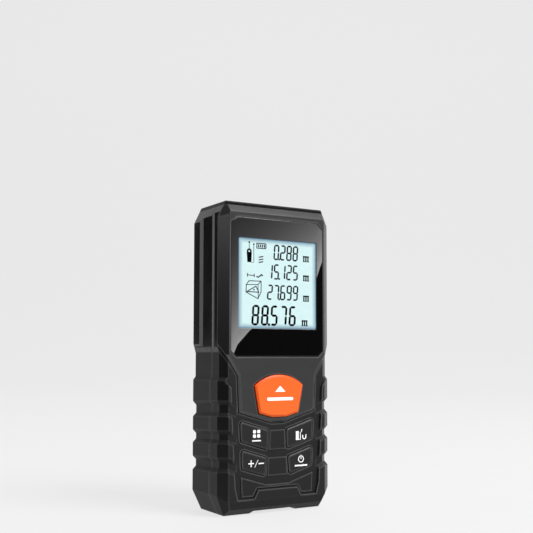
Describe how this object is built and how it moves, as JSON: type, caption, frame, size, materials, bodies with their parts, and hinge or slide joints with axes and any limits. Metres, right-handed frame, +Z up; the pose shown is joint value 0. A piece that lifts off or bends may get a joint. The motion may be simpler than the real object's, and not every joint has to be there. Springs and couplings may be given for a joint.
{
  "type": "laser distance meter",
  "caption": "Handheld laser distance meter with a ribbed soft grip, a display behind a dark window, a large start key, small slanted keys and a hinged battery cover.",
  "frame": {"origin": "centre of the bottom of the bounding box, with the meter standing on its lower end", "axes": "+Z up towards the laser outlet, -Y out of the display and the keys, +X to the right as seen from the front"},
  "size_m": [0.047, 0.026, 0.112],
  "materials": {
    "hard_plastic": "fine-grained moulded plastic",
    "soft_grip": "soft-touch moulded grip",
    "key_rubber": "fine-grained silicone with light printed signs",
    "start_orange": "satin orange plastic with a light printed sign",
    "window_acrylic": "polished tinted acrylic with a dark printed border",
    "display_glass": "backlit liquid crystal glass",
    "light_guide": "clear light guide with a white film",
    "white_plastic": "moulded white plastic",
    "board_green": "solder mask on fibreglass",
    "black_epoxy": "moulded epoxy",
    "cast_metal": "die cast, matt",
    "brass": "turned",
    "steel": "nickel plated",
    "optical_glass": "coated optical glass",
    "red_filter": "polished red filter glass",
    "cell_sleeve": "satin sleeve without print",
    "foam": "closed-cell foam"
  },
  "bodies": {
    "housing": {"front_shell": "hard_plastic", "rear_shell": "hard_plastic", "top_cap": "hard_plastic", "front_grip": "soft_grip", "rear_grip": "soft_grip", "display_window": "window_acrylic", "lcd_panel": "display_glass", "light_guide": "light_guide", "display_frame": "white_plastic", "main_board": "board_green", "receiver_board": "board_green", "processor": "black_epoxy", "buzzer": "black_epoxy", "optics_frame": "cast_metal", "laser_barrel": "brass", "laser_diode": "brass", "start_switch": "steel", "function_switch": "steel", "reference_switch": "steel", "plus_minus_switch": "steel", "power_switch": "steel", "upper_left_screw": "steel", "upper_right_screw": "steel", "lower_left_screw": "steel", "lower_right_screw": "steel", "board_left_screw": "steel", "board_right_screw": "steel", "optics_left_screw": "steel", "optics_right_screw": "steel", "receiver_sensor": "steel", "link_contact": "steel", "plus_contact": "steel", "minus_contact": "steel", "receiver_window": "optical_glass", "receiver_lens": "optical_glass", "collimator_lens": "optical_glass", "emitter_window": "red_filter", "left_cell": "cell_sleeve", "right_cell": "cell_sleeve", "window_tape": "foam"},
    "start_key": {"start_key": "start_orange"},
    "function_key": {"function_key": "key_rubber"},
    "reference_key": {"reference_key": "key_rubber"},
    "plus_minus_key": {"plus_minus_key": "key_rubber"},
    "power_key": {"power_key": "key_rubber"},
    "battery_cover": {"battery_cover": "hard_plastic", "cover_foam": "foam"}
  },
  "joints": [
    {"name": "start_key_press", "type": "slide", "parent": "housing", "child": "start_key", "axis": [0, 1, 0], "range_m": [0, 0.0008], "stiffness_N_per_m": 500},
    {"name": "function_key_press", "type": "slide", "parent": "housing", "child": "function_key", "axis": [0, 1, 0], "range_m": [0, 0.0008], "stiffness_N_per_m": 500},
    {"name": "reference_key_press", "type": "slide", "parent": "housing", "child": "reference_key", "axis": [0, 1, 0], "range_m": [0, 0.0008], "stiffness_N_per_m": 500},
    {"name": "plus_minus_key_press", "type": "slide", "parent": "housing", "child": "plus_minus_key", "axis": [0, 1, 0], "range_m": [0, 0.0008], "stiffness_N_per_m": 500},
    {"name": "power_key_press", "type": "slide", "parent": "housing", "child": "power_key", "axis": [0, 1, 0], "range_m": [0, 0.0008], "stiffness_N_per_m": 500},
    {"name": "battery_cover_hinge", "type": "hinge", "parent": "housing", "child": "battery_cover", "pos_m": [0, 0.013, 0.05765], "axis": [1, 0, 0], "range_deg": [0, 60]}
  ]
}
